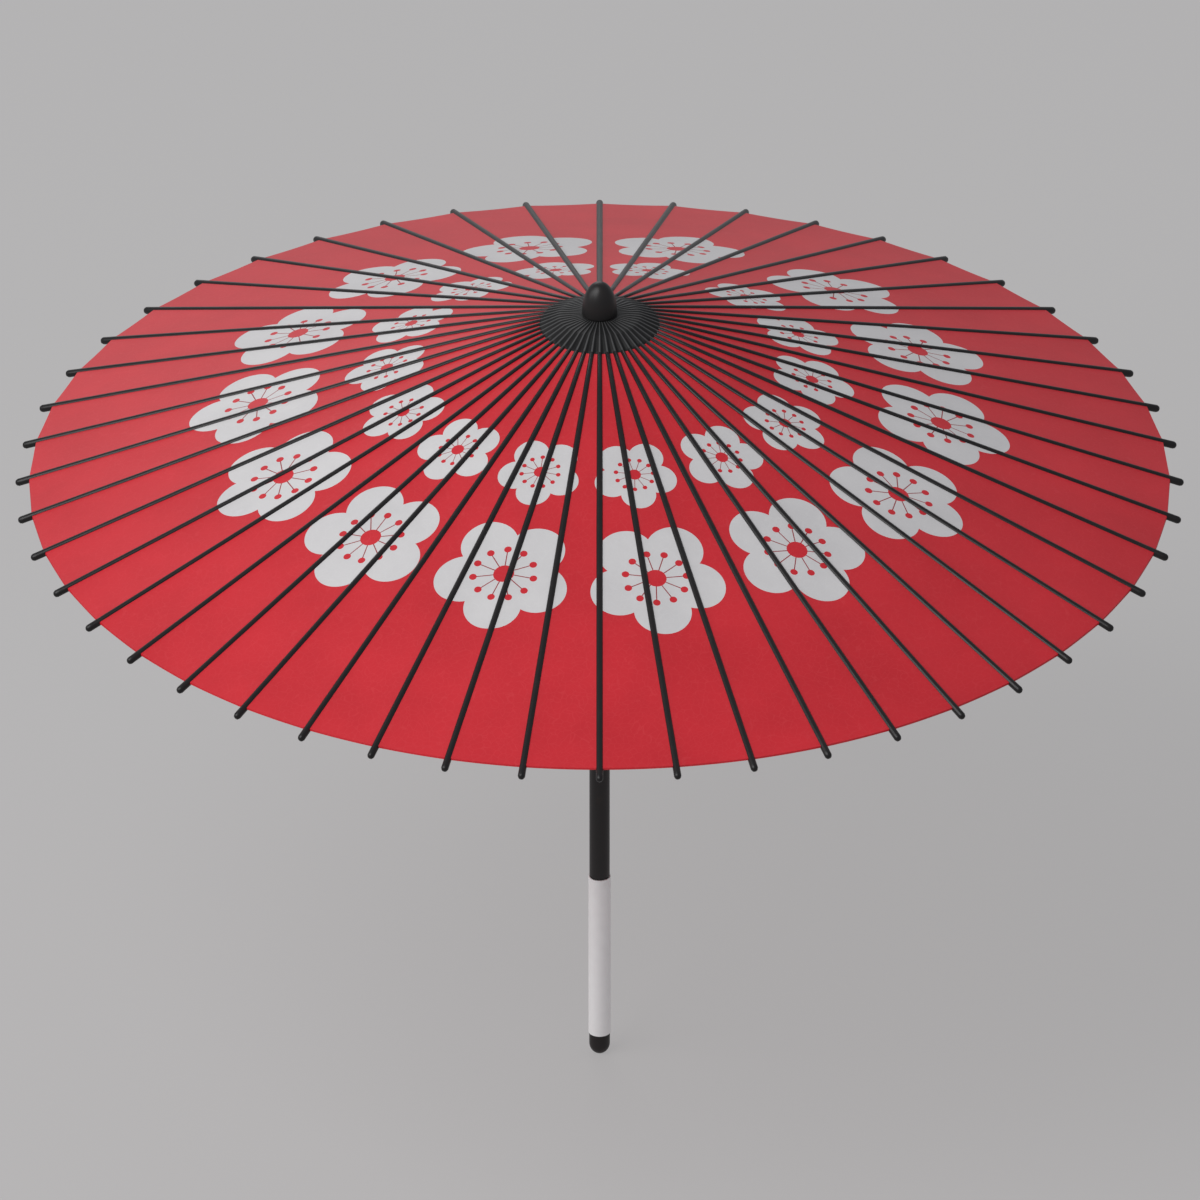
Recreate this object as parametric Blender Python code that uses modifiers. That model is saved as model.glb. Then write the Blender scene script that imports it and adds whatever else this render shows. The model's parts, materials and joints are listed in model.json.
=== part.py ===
"""Small folding oil paper umbrella, open: long ribs on a notched crown, short ribs on a sliding notched runner,
a paper canopy, a pole with a sprung catch, a wrapped grip and a rounded end cap. Metres, +Z up, foot at the origin."""

import math

import bmesh
import bpy
from mathutils import Matrix, Vector

MM = 0.001

# Overall sizes, in mm
RIB_COUNT = 48
TIP_RADIUS = 425.0  # from the axis to the outer end of a long rib
TIP_HEIGHT = 484.7  # rib centre line above the foot, at its tip
RIB_SLOPE = 0.3425  # fall of an open rib per unit of radius
TIP_OVERHANG = 10.3  # rib end beyond the paper's edge
POLE_R = 7.5
FINIAL_R = 12.35
FINIAL_HEIGHT = 25.4
GRIP_R = 8.25
GRIP_TOP = 151.8
CAP_R = 7.65
CAP_TOP = 16.7
FOOT_R = 3.5

# Hinge circles and the closed pose
CROWN_HINGE_R = 24.0
RUNNER_HINGE_R = 20.0
RUNNER_DROP = 126.1  # from the crown's hinges down to the runner's, when open
CLOSED_ANGLE = 5.5  # a closed rib's lean from the vertical, in degrees
STAY_JOINT = 185.0  # from a long rib's hinge to its short rib, along the rib

# Long rib
TONGUE_THICK = 1.3
TONGUE_LENGTH = 5.9
TONGUE_BACK = 2.2  # behind the hinge
TONGUE_HALF = 1.9
RIB_LEVELS = (2.75, 0.3, -2.75)  # heights across a rib's section, from its centre line
RIB_HALF_WIDTHS = (1.35, 2.65, 1.5)  # widest half widths at those heights
FULL_WIDTH_AT = 150.0  # where a rib reaches those widths
TIP_ROUND = 2.2
EYE_R = 0.8

# Short rib
STAY_THICK = 1.1
STAY_DEPTH = 3.4
STAY_TONGUE = 4.9
STAY_BACK = 2.2
STAY_END_WIDTH = 3.2

# Hubs and thread
THREAD_R = 0.42
CROWN_CORE_DEPTH = 3.5  # notch floor behind the hinge circle
RUNNER_CORE_DEPTH = 2.8
CROWN_HEIGHT_BELOW = 15.0
CROWN_TOP_ABOVE = 3.6
RUNNER_LENGTH = 45.0  # below its hinges
SLEEVE_WALL = 5.6
PEG_R = 1.1
PEG_DROP = 9.8  # below the crown's hinges

# Pole joints
GRIP_WALL = 1.05
CAP_WALL = 2.45
CAP_FLOOR = 5.5
TENON_R = 5.0
TENON_LENGTH = 14.2

# Paper
PAPER_LOW = 1.0  # above the rib's centre line, square to it
PAPER_THICK = 0.6
COLLAR_OFFSET = 12.5  # from the hinge circle out to the paper's inner edge
COLLAR_WIDTH = 7.0
COLLAR_WEB = 4.6
COLLAR_THICK = 0.6

# Catch
CATCH_THICK = 1.6
CATCH_DEPTH = 4.3  # pin below the pole's face
CATCH_STANDS = 3.1  # shoulder beyond the pole's face
CATCH_LENGTH = 29.5
CATCH_BACK = 1.7
PIN_R = 0.8

# Clearances
GAP = 0.3
BORE_GAP = 0.4
PAPER_GAP = 0.35
BUNDLE_GAP = 0.3
CATCH_SLOT_GAP = 0.4

# Computed
PITCH = 2 * math.pi / RIB_COUNT
TILT = math.atan(RIB_SLOPE)
CLOSED = math.radians(CLOSED_ANGLE)
COS_TILT = math.cos(TILT)
SIN_TILT = math.sin(TILT)
RIB_LENGTH = (TIP_RADIUS - CROWN_HINGE_R) / COS_TILT
RIB_BELOW = -RIB_LEVELS[-1]
CROWN_Z = TIP_HEIGHT + RIB_SLOPE * (TIP_RADIUS - CROWN_HINGE_R)
CROWN_CORE_R = CROWN_HINGE_R - CROWN_CORE_DEPTH
CROWN_TOP = CROWN_Z + CROWN_TOP_ABOVE
RUNNER_Z = CROWN_Z - RUNNER_DROP
RUNNER_CORE_R = RUNNER_HINGE_R - RUNNER_CORE_DEPTH
RUNNER_BOTTOM = RUNNER_Z - RUNNER_LENGTH
BORE_R = POLE_R + BORE_GAP
SLEEVE_R = BORE_R + SLEEVE_WALL
FINIAL_BASE = CROWN_TOP + GAP
PEG_Z = CROWN_Z - PEG_DROP
CATCH_TOP = RUNNER_BOTTOM - PAPER_GAP
CATCH_Z = CATCH_TOP - CATCH_LENGTH
CATCH_Y = CATCH_DEPTH - POLE_R
CATCH_REACH = -(POLE_R + CATCH_STANDS)
GRIP_BORE_R = GRIP_R - GRIP_WALL
CAP_BORE_R = CAP_R - CAP_WALL


def material(name, color, roughness):
    mat = bpy.data.materials.new(name)
    mat.use_nodes = True
    shader = mat.node_tree.nodes["Principled BSDF"]
    shader.inputs["Base Color"].default_value = (*color, 1)
    shader.inputs["Roughness"].default_value = roughness
    shader.inputs["Metallic"].default_value = 0
    mat.diffuse_color = (*color, 1)
    return mat


def mesh_from(name, bm):
    mesh = bpy.data.meshes.new(name)
    bm.to_mesh(mesh)
    bm.free()
    mesh.polygons.foreach_set("use_smooth", [True] * len(mesh.polygons))
    mesh.set_sharp_from_angle(angle=math.radians(35))
    return mesh


def add(name, mesh, mat, at=(0, 0, 0), collection=None):
    obj = bpy.data.objects.new(name, mesh)
    obj.location = Vector(at) * MM
    if mat and not mesh.materials:
        mesh.materials.append(mat)
    (collection or parts).objects.link(obj)
    return obj


def turned(name, outline, steps, mat, at=(0, 0, 0), loop=False):
    """Profile of (r, z) points down its outer side, turned about Z by a Screw modifier. A loop closes on itself."""
    bm = bmesh.new()
    points = [bm.verts.new((r * MM, 0, z * MM)) for r, z in outline]
    for first, second in zip(points, points[1:] + points[:1] if loop else points[1:]):
        bm.edges.new((first, second))
    obj = add(name, mesh_from(name, bm), mat, at)
    screw = obj.modifiers.new("turn", "SCREW")
    screw.steps = screw.render_steps = steps
    screw.use_merge_vertices = True
    screw.merge_threshold = 1e-5
    return obj


def block(bm, low, high, matrix=None):
    """Box between two corners, made from a cube."""
    size = [(b - a) * MM for a, b in zip(low, high)]
    middle = [(a + b) / 2 * MM for a, b in zip(low, high)]
    place = Matrix.Translation(middle) @ Matrix.Diagonal((*size, 1))
    bmesh.ops.create_cube(bm, size=1, matrix=(matrix or Matrix()) @ place)


def rod(bm, radius, length, sides):
    """Round bar along X, centred."""
    turn = Matrix.Rotation(math.pi / 2, 4, "Y")
    bmesh.ops.create_cone(
        bm,
        cap_ends=True,
        segments=sides,
        radius1=radius * MM,
        radius2=radius * MM,
        depth=length * MM,
        matrix=turn,
    )


def rod_mesh(name, radius, length, sides=12):
    bm = bmesh.new()
    rod(bm, radius, length, sides)
    return mesh_from(name, bm)


def ring(name, major, minor, mat, at):
    """Thread ring, with a corner of its section midway between two ribs."""
    bpy.ops.mesh.primitive_torus_add(
        major_segments=RIB_COUNT, minor_segments=4, major_radius=major * MM, minor_radius=minor * MM
    )
    obj = bpy.context.object
    obj.name = obj.data.name = name
    obj.data.transform(Matrix.Rotation(PITCH / 2, 4, "Z"))
    obj.location = Vector(at) * MM
    for owner in list(obj.users_collection):
        owner.objects.unlink(obj)
    parts.objects.link(obj)
    obj.data.materials.append(mat)
    return obj


def loft(bm, sections, matrix=None):
    """Closed solid through rings of equally many points, in mm, each anticlockwise seen from the last one."""
    rings = [[bm.verts.new((matrix or Matrix()) @ (Vector(p) * MM)) for p in points] for points in sections]
    for near, far in zip(rings, rings[1:]):
        for i in range(len(near)):
            j = (i + 1) % len(near)
            bm.faces.new((near[i], near[j], far[j], far[i]))
    bm.faces.new(rings[0][::-1])
    bm.faces.new(rings[-1])


def helper(obj):
    """Keeps a cutter or a joined shape out of the model."""
    for owner in list(obj.users_collection):
        owner.objects.unlink(obj)
    cutters.objects.link(obj)
    obj.hide_render = True
    obj.display_type = "WIRE"
    return obj


def boolean(obj, other, operation="DIFFERENCE"):
    mod = obj.modifiers.new(other.name, "BOOLEAN")
    mod.operation = operation
    mod.solver = "EXACT"
    mod.object = other


def turned_to(index):
    """Rotation from the first rib's plane to this rib's."""
    return Matrix.Rotation(index * PITCH, 4, "Z")


def rib_frame(index):
    """Frame of an open long rib: X along it from its hinge, Z square to it."""
    hinge = Matrix.Translation(Vector((CROWN_HINGE_R, 0, CROWN_Z)) * MM)
    return turned_to(index) @ hinge @ Matrix.Rotation(TILT, 4, "Y")


def notches(name, half, floor_r, z):
    """One radial box for each rib, from floor_r outwards."""
    bm = bmesh.new()
    for index in range(RIB_COUNT):
        block(bm, (floor_r, -half, z - 12), (floor_r + 20, half, z + 12), turned_to(index))
    return helper(add(name, mesh_from(name, bm), None))


def rib_half(along, height, widest):
    """Half width of a long rib that still lets the closed ribs lie side by side."""
    r = CROWN_HINGE_R + along * math.sin(CLOSED) + height * math.cos(CLOSED)
    return min(widest, r * math.tan(PITCH / 2) - BUNDLE_GAP / 2)


# Clear the scene
for old in list(bpy.data.objects):
    bpy.data.objects.remove(old, do_unlink=True)
for old in list(bpy.data.collections):
    bpy.data.collections.remove(old)
parts = bpy.data.collections.new("oil_paper_umbrella")
cutters = bpy.data.collections.new("cutters")
bpy.context.scene.collection.children.link(parts)
bpy.context.scene.collection.children.link(cutters)


def make_pole():
    """Round pole, turned down for the grip, the cap and the finial, with the catch's slot and two cross holes."""
    foot_r = GRIP_BORE_R - GAP
    cap_tenon_r = CAP_BORE_R - GAP
    outline = [
        (0, FINIAL_BASE + TENON_LENGTH),
        (TENON_R, FINIAL_BASE + TENON_LENGTH),
        (TENON_R, CROWN_TOP - 0.4),
        (POLE_R, CROWN_TOP - 0.7),
        (POLE_R, GRIP_TOP + GAP + 0.4),
        (foot_r, GRIP_TOP + GAP),
        (foot_r, CAP_TOP + GAP + 0.1),
        (cap_tenon_r, CAP_TOP + GAP + 0.1),
        (cap_tenon_r, CAP_FLOOR + 0.5),
        (0, CAP_FLOOR + 0.5),
    ]
    pole = turned("pole", outline, 36, material("pole_black", (0.020, 0.018, 0.017), 0.38))
    bm = bmesh.new()
    half = CATCH_THICK / 2 + CATCH_SLOT_GAP
    block(bm, (-half, -POLE_R - 2, CATCH_Z - 2.8), (half, CATCH_Y + 4.9, CATCH_TOP + 2.6))
    boolean(pole, helper(add("catch_slot", mesh_from("catch_slot", bm), None)))
    pin_hole = add("pin_hole", rod_mesh("pin_hole", PIN_R + GAP, 4 * POLE_R), None, (0, CATCH_Y, CATCH_Z))
    boolean(pole, helper(pin_hole))
    boolean(pole, peg_hole)


def make_crown():
    """Upper hub: turned rim with a notch for each long rib and a groove for their thread, and its peg."""
    hinge, core = CROWN_HINGE_R, CROWN_CORE_R
    outline = [
        (BORE_R, CROWN_TOP_ABOVE),
        (core, 2.66),
        (hinge - 0.85, 2.45),
        (hinge - 0.85, -0.85),
        (hinge + 0.85, -0.85),
        (hinge + 0.85, 2.3),
        (hinge + 4.9, 2.0),
        (hinge + 5.25, -1.2),
        (hinge + 3.6, -4.0),
        (hinge + 0.6, -5.4),
        (hinge - 1.8, -5.1),
        (core, -4.3),
        (core, 1.2 - CROWN_HEIGHT_BELOW),
        (core - 1.2, -CROWN_HEIGHT_BELOW),
        (BORE_R, -CROWN_HEIGHT_BELOW),
    ]
    black = material("crown_black", (0.026, 0.023, 0.021), 0.45)
    crown = turned("crown", outline, RIB_COUNT, black, (0, 0, CROWN_Z), loop=True)
    boolean(crown, notches("crown_notches", TONGUE_THICK / 2 + GAP, core + 0.1, CROWN_Z))
    boolean(crown, peg_hole)
    peg = rod_mesh("crown_peg", PEG_R, 2 * (core - 0.7))
    add("crown_peg", peg, material("peg_bamboo", (0.30, 0.19, 0.10), 0.5), (0, 0, PEG_Z))
    thread = material("black_thread", (0.03, 0.028, 0.03), 0.8)
    ring("crown_thread", hinge, THREAD_R, thread, (0, 0, CROWN_Z))


def make_finial():
    """Bell-shaped knob on the pole's tenon."""
    outline = [(0, FINIAL_HEIGHT), (FINIAL_R * 0.2, FINIAL_HEIGHT * 0.985)]
    for step in range(7, 0, -1):
        t = step / 8
        outline.append((FINIAL_R * (1 - t**3.2) ** 0.5 * (1 - 0.07 * t), 1 + (FINIAL_HEIGHT - 1) * t))
    bore = TENON_R + GAP
    outline += [(FINIAL_R, 1.0), (FINIAL_R - 0.9, 0), (bore, 0), (bore, TENON_LENGTH + GAP), (0, TENON_LENGTH + GAP)]
    turned("finial", outline, 32, material("finial_black", (0.018, 0.017, 0.016), 0.35), (0, 0, FINIAL_BASE))


def make_runner():
    """Lower hub: sleeve with a notched head, sliding on the pole, and a channel that lets the catch pass."""
    hinge, core = RUNNER_HINGE_R, RUNNER_CORE_R
    outline = [
        (BORE_R, 4.4),
        (core, 3.4),
        (hinge - 0.85, 4.25),
        (hinge - 0.85, -0.85),
        (hinge + 0.85, -0.85),
        (hinge + 0.85, 4.25),
        (hinge + 2.8, 3.3),
        (hinge + 4.2, 1.2),
        (hinge + 4.25, -1.0),
        (hinge + 2.6, -3.5),
        (hinge - 0.4, -4.35),
        (core, -3.5),
        (core - 0.6, -4.4),
        (SLEEVE_R, -8.0),
        (SLEEVE_R, 1 - RUNNER_LENGTH),
        (SLEEVE_R - 1, -RUNNER_LENGTH),
        (BORE_R, -RUNNER_LENGTH),
    ]
    black = material("runner_black", (0.030, 0.025, 0.022), 0.48)
    runner = turned("runner", outline, RIB_COUNT, black, (0, 0, RUNNER_Z), loop=True)
    boolean(runner, notches("runner_notches", STAY_THICK / 2 + GAP, core + 0.1, RUNNER_Z))
    bm = bmesh.new()
    half = CATCH_THICK / 2 + GAP + 0.2
    block(bm, (-half, CATCH_REACH - 0.6, RUNNER_BOTTOM - 5), (half, -4.0, RUNNER_Z + 9))
    boolean(runner, helper(add("catch_channel", mesh_from("catch_channel", bm), None)))


def make_catch():
    """Flat sprung latch in the pole's slot, its shoulder under the runner, and the pin that it turns on."""
    reach = CATCH_REACH - CATCH_Y
    outline = [
        (-2.3, -2.0),
        (0.2, -2.2),
        (CATCH_BACK, -1.0),
        (CATCH_BACK, 2.0),
        (0.9, CATCH_LENGTH - 1.4),
        (0.1, CATCH_LENGTH),
        (reach, CATCH_LENGTH),
        (reach, CATCH_LENGTH - 1.6),
        (-3.6, CATCH_LENGTH - 11.0),
        (-2.6, 2.0),
    ]
    curve = bpy.data.curves.new("catch_outline", "CURVE")
    curve.dimensions = "2D"
    curve.fill_mode = "BOTH"
    curve.extrude = CATCH_THICK / 2 * MM
    spline = curve.splines.new("POLY")
    spline.points.add(len(outline) - 1)
    spline.use_cyclic_u = True
    for point, (y, z) in zip(spline.points, outline):
        point.co = (y * MM, z * MM, 0, 1)
    flat = bpy.data.objects.new("catch_outline", curve)
    parts.objects.link(flat)
    # The outline's X and Y become the catch's Y and Z.
    flat.matrix_world = Matrix(((0, 0, 1, 0), (1, 0, 0, 0), (0, 1, 0, 0), (0, 0, 0, 1)))
    bpy.context.view_layer.update()
    graph = bpy.context.evaluated_depsgraph_get()
    mesh = bpy.data.meshes.new_from_object(flat.evaluated_get(graph))
    mesh.transform(flat.matrix_world)
    bpy.data.objects.remove(flat, do_unlink=True)
    bm = bmesh.new()
    bm.from_mesh(mesh)
    bmesh.ops.remove_doubles(bm, verts=bm.verts, dist=1e-6)
    bmesh.ops.recalc_face_normals(bm, faces=bm.faces)
    brown = material("catch_bamboo", (0.16, 0.09, 0.04), 0.5)
    catch = add("catch", mesh_from("catch", bm), brown, (0, CATCH_Y, CATCH_Z))
    bpy.data.meshes.remove(mesh)
    eye = rod_mesh("catch_eye", PIN_R + GAP, 3 * CATCH_THICK)
    boolean(catch, helper(add("catch_eye", eye, None, (0, CATCH_Y, CATCH_Z))))
    chord = 2 * math.sqrt(POLE_R**2 - CATCH_Y**2)
    pin = rod_mesh("catch_pin", PIN_R, chord - 0.8, 10)
    add("catch_pin", pin, material("pin_bamboo", (0.34, 0.22, 0.11), 0.5), (0, CATCH_Y, CATCH_Z))


def make_grip():
    """Wrapped sleeve on the pole's foot, between the cap and the pole's shoulder."""
    low, high = CAP_TOP + GAP, GRIP_TOP
    outline = [
        (GRIP_BORE_R, high),
        (GRIP_R - 0.3, high),
        (GRIP_R, high - 0.4),
        (GRIP_R, low + 0.4),
        (GRIP_R - 0.3, low),
        (GRIP_BORE_R, low),
    ]
    turned("grip", outline, 36, material("white_wrap", (0.78, 0.76, 0.75), 0.5), loop=True)


def make_end_cap():
    """Round-ended cap with a small flat foot, on the pole's lower tenon."""
    outline = [(0, CAP_FLOOR), (CAP_BORE_R, CAP_FLOOR), (CAP_BORE_R, CAP_TOP), (CAP_R - 0.4, CAP_TOP)]
    outline.append((CAP_R, CAP_TOP - 0.4))
    start = math.asin(FOOT_R / CAP_R)
    for step in range(5, -1, -1):
        t = start + (math.pi / 2 - start) * step / 5
        outline.append((CAP_R * math.sin(t), CAP_R * (1 - math.cos(t) / math.cos(start))))
    outline.append((0, 0))
    turned("end_cap", outline, 32, material("cap_black", (0.019, 0.018, 0.017), 0.36))


def rib_section(along, grow=1.0):
    """Six-sided section of a long rib, widest near its middle."""
    halves = [rib_half(along, h, w) * grow for h, w in zip(RIB_LEVELS, RIB_HALF_WIDTHS)]
    top, middle, bottom = (h * grow for h in RIB_LEVELS)
    left = [(along, -halves[1], middle), (along, -halves[2], bottom)]
    right = [(along, halves[2], bottom), (along, halves[1], middle), (along, halves[0], top)]
    return left[1:] + right + [(along, -halves[0], top)] + left[:1]


def tongue_section(along, height):
    half = TONGUE_THICK / 2
    levels = (-height, 0, height)
    return [(along, -half, -height)] + [(along, half, z) for z in levels] + [(along, -half, height), (along, -half, 0)]


def make_long_ribs():
    """One rib mesh, a loft from the thin tongue to the rounded tip, with the thread's eye cut through the tongue."""
    bm = bmesh.new()
    sections = [
        tongue_section(-TONGUE_BACK, TONGUE_HALF / 2),
        tongue_section(1 - TONGUE_BACK, TONGUE_HALF),
        tongue_section(TONGUE_LENGTH, TONGUE_HALF),
        rib_section(TONGUE_LENGTH + 0.7),
        rib_section(FULL_WIDTH_AT),
        rib_section(RIB_LENGTH - TIP_ROUND),
        rib_section(RIB_LENGTH, 0.45),
    ]
    loft(bm, sections)
    black = material("black_lacquer", (0.022, 0.020, 0.019), 0.42)
    blank = add("rib_blank", mesh_from("rib_blank", bm), black)
    bm = bmesh.new()
    rod(bm, EYE_R, 3 * TONGUE_THICK, 6)
    bm.transform(Matrix.Rotation(math.pi / 2, 4, "Z"))
    eye = helper(add("rib_eye", mesh_from("rib_eye", bm), None))
    boolean(blank, eye)
    bpy.context.view_layer.update()
    graph = bpy.context.evaluated_depsgraph_get()
    mesh = bpy.data.meshes.new_from_object(blank.evaluated_get(graph))
    mesh.name = "long_rib"
    bpy.data.objects.remove(blank, do_unlink=True)
    bpy.data.objects.remove(eye, do_unlink=True)
    for index in range(RIB_COUNT):
        rib = add(f"rib_{index:02d}", mesh, black)
        rib.matrix_world = rib_frame(index)


def make_short_ribs():
    """Struts from the runner's notches up to just under the long ribs, joined by their thread ring."""
    under = RIB_BELOW + GAP + 0.15
    end_r = CROWN_HINGE_R + STAY_JOINT * COS_TILT - under * SIN_TILT
    end_z = CROWN_Z - STAY_JOINT * SIN_TILT - under * COS_TILT
    rise = math.atan2(end_z - RUNNER_Z, end_r - RUNNER_HINGE_R)
    length = math.hypot(end_z - RUNNER_Z, end_r - RUNNER_HINGE_R)
    deep = STAY_DEPTH / 2
    slant = STAY_DEPTH / math.tan(rise + TILT)

    def section(along, half, low, high):
        return [(along, -half, low), (along, half, low), (along, half, high), (along, -half, high)]

    half = STAY_THICK / 2
    sections = [
        section(-STAY_BACK, half, -0.8, 0.8),
        section(0.9 - STAY_BACK, half, 0.1 - deep, deep - 0.1),
        section(STAY_TONGUE, half, 0.1 - deep, deep - 0.1),
        section(STAY_TONGUE + 0.6, half + 0.3, -deep, deep),
        section(length - slant - 1.5, STAY_END_WIDTH / 2, -deep, deep),
        section(length - 0.6, STAY_END_WIDTH / 2 - 0.5, -deep, 1 - deep),
    ]
    bm = bmesh.new()
    for index in range(RIB_COUNT):
        hinge = Matrix.Translation(Vector((RUNNER_HINGE_R, 0, 0)) * MM)
        loft(bm, sections, turned_to(index) @ hinge @ Matrix.Rotation(-rise, 4, "Y"))
    brown = material("stay_bamboo", (0.045, 0.035, 0.028), 0.5)
    struts = add("short_ribs", mesh_from("short_ribs", bm), brown, (0, 0, RUNNER_Z))
    boolean(struts, helper(ring("stay_ring", RUNNER_HINGE_R, THREAD_R, brown, (0, 0, RUNNER_Z))), "UNION")


def make_canopy():
    """Cone of paper with a slot round each long rib, held together by a collar that passes under the ribs."""
    inner = CROWN_HINGE_R + COLLAR_OFFSET
    outer = TIP_RADIUS - TIP_OVERHANG
    web = inner + COLLAR_WEB
    slot_floor = -(RIB_BELOW + PAPER_GAP)
    collar_top = slot_floor - 0.15

    def point(r, level):
        """Point at this radius, and this far square to the ribs' centre lines."""
        return (r, CROWN_Z - RIB_SLOPE * (r - CROWN_HINGE_R) + level / COS_TILT)

    outline = [
        point(inner, PAPER_LOW + PAPER_THICK),
        point(outer, PAPER_LOW + PAPER_THICK),
        point(outer, PAPER_LOW),
        point(web + 0.6, PAPER_LOW),
        point(web, collar_top),
        point(inner + COLLAR_WIDTH, collar_top),
        point(inner + COLLAR_WIDTH, collar_top - COLLAR_THICK),
        point(inner, collar_top - COLLAR_THICK),
    ]
    red = material("red_paper", (0.52, 0.022, 0.035), 0.55)
    canopy = turned("canopy", outline, RIB_COUNT, red, loop=True)
    bm = bmesh.new()
    for index in range(RIB_COUNT):
        sections = []
        for along in (COLLAR_OFFSET - 4, FULL_WIDTH_AT, RIB_LENGTH + 5):
            half = rib_half(along, PAPER_LOW + PAPER_THICK, RIB_HALF_WIDTHS[1] - 0.25) + PAPER_GAP
            low, high = slot_floor, 6.0
            sections.append([(along, -half, low), (along, half, low), (along, half, high), (along, -half, high)])
        loft(bm, sections, rib_frame(index))
    boolean(canopy, helper(add("rib_slots", mesh_from("rib_slots", bm), None)))


peg_hole = helper(add("peg_hole", rod_mesh("peg_hole", PEG_R + GAP, 3 * CROWN_HINGE_R), None, (0, 0, PEG_Z)))
make_pole()
make_crown()
make_finial()
make_long_ribs()
make_runner()
make_short_ribs()
make_catch()
make_canopy()
make_grip()
make_end_cap()
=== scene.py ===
"""Looks of the open oil paper umbrella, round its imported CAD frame. Metres, +Z up, foot at the origin."""

import json
import math

import bmesh
import bpy
from mathutils import Matrix, Vector


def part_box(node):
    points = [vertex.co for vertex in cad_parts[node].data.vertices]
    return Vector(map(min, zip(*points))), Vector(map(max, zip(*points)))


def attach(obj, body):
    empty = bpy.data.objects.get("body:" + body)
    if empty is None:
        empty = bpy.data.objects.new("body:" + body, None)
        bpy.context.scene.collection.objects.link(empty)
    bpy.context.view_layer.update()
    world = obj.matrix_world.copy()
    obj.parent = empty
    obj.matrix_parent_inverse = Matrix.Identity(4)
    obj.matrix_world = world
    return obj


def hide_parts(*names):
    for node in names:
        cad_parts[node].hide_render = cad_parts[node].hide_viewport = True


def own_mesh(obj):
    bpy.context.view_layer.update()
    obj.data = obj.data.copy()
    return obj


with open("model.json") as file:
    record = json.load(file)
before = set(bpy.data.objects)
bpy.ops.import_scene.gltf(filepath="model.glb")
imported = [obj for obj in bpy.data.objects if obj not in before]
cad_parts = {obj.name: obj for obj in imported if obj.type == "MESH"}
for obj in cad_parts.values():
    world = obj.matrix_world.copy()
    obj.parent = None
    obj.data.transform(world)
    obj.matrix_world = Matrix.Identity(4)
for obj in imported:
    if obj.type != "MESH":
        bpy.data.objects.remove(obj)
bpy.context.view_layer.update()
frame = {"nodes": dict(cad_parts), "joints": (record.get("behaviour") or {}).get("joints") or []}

# --------------------------------------------------------------------------------------------------
# Camera: far off with a long lens, looking down on the paper from the catch's side.
# Its height is set from the circle of the rib tips.
MM = 0.001
tip_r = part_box("rib_00")[1][0]
hinge_joint = next(joint for joint in frame["joints"] if joint["name"] == "rib_00_hinge")
hinge_r, hinge_z = hinge_joint["pos_m"][0], hinge_joint["pos_m"][2]
FALL = 0.3425  # of an open rib, for each unit outwards
tip_height = hinge_z - FALL * (tip_r - hinge_r)
camera_data = bpy.data.cameras.new("camera")
camera_data.lens = 502.6
camera_data.sensor_width = 36
camera_data.clip_end = 100
camera = bpy.data.objects.new("camera", camera_data)
CAMERA_ASIDE = 0.3 * MM
CAMERA_BACK = 10.59525  # from the pole
CAMERA_RISE = 6.033975  # above the rib tips
CAMERA_TILT = math.radians(59.94)
camera.location = (CAMERA_ASIDE, -CAMERA_BACK, tip_height + CAMERA_RISE)
camera.rotation_euler = (CAMERA_TILT, 0, 0)
bpy.context.scene.collection.objects.link(camera)
bpy.context.scene.camera = camera
bpy.context.scene.view_settings.view_transform = "Standard"


# --------------------------------------------------------------------------------------------------
# Floor and lights: a pale grey studio floor that glows a little, one broad soft light from the
# front left, weak ones from the left side and from behind, and an even grey surround.
def new_material(name):
    """A new material, with its node tree and its Principled shader."""
    made = bpy.data.materials.new(name)
    made.use_nodes = True
    return made, made.node_tree, made.node_tree.nodes["Principled BSDF"]


def add_node(tree, kind, inputs=(), **settings):
    """Adds a node. Inputs gives a value, or the socket that feeds it, for a socket's name or number."""
    node = tree.nodes.new(kind)
    for key, value in settings.items():
        setattr(node, key, value)
    for key, value in dict(inputs).items():
        if isinstance(value, bpy.types.NodeSocket):
            tree.links.new(value, node.inputs[key])
        else:
            node.inputs[key].default_value = value
    return node


floor_bm = bmesh.new()
FLOOR_HALF = 14
FLOOR_DROP = 0.2 * MM  # below the foot
bmesh.ops.create_grid(floor_bm, x_segments=1, y_segments=1, size=FLOOR_HALF)
floor_mesh = bpy.data.meshes.new("floor")
floor_bm.to_mesh(floor_mesh)
floor_bm.free()
floor = bpy.data.objects.new("floor", floor_mesh)
floor.location = (0, 0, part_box("end_cap")[0][2] - FLOOR_DROP)
bpy.context.scene.collection.objects.link(floor)
floor_grey, _, floor_shader = new_material("floor_grey")
floor_shader.inputs["Base Color"].default_value = (0.135, 0.132, 0.132, 1)
floor_shader.inputs["Roughness"].default_value = 0.9
floor_shader.inputs["Specular IOR Level"].default_value = 0.1
floor_shader.inputs["Emission Color"].default_value = (1, 0.985, 0.985, 1)
floor_shader.inputs["Emission Strength"].default_value = 0.33
floor_mesh.materials.append(floor_grey)

world = bpy.data.worlds.new("studio")
world.use_nodes = True
world.node_tree.nodes["Background"].inputs["Color"].default_value = (0.92, 0.94, 1.0, 1)
world.node_tree.nodes["Background"].inputs["Strength"].default_value = 0.46
bpy.context.scene.world = world


def soft_light(name, place, size, power):
    """Square area light aimed at the middle of the open umbrella."""
    light = bpy.data.lights.new(name, "AREA")
    light.size = size
    light.energy = power
    obj = bpy.data.objects.new(name, light)
    obj.location = place
    aim = Vector((0, 0, 0.5)) - obj.location
    obj.rotation_euler = aim.to_track_quat("-Z", "Y").to_euler()
    bpy.context.scene.collection.objects.link(obj)


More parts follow.
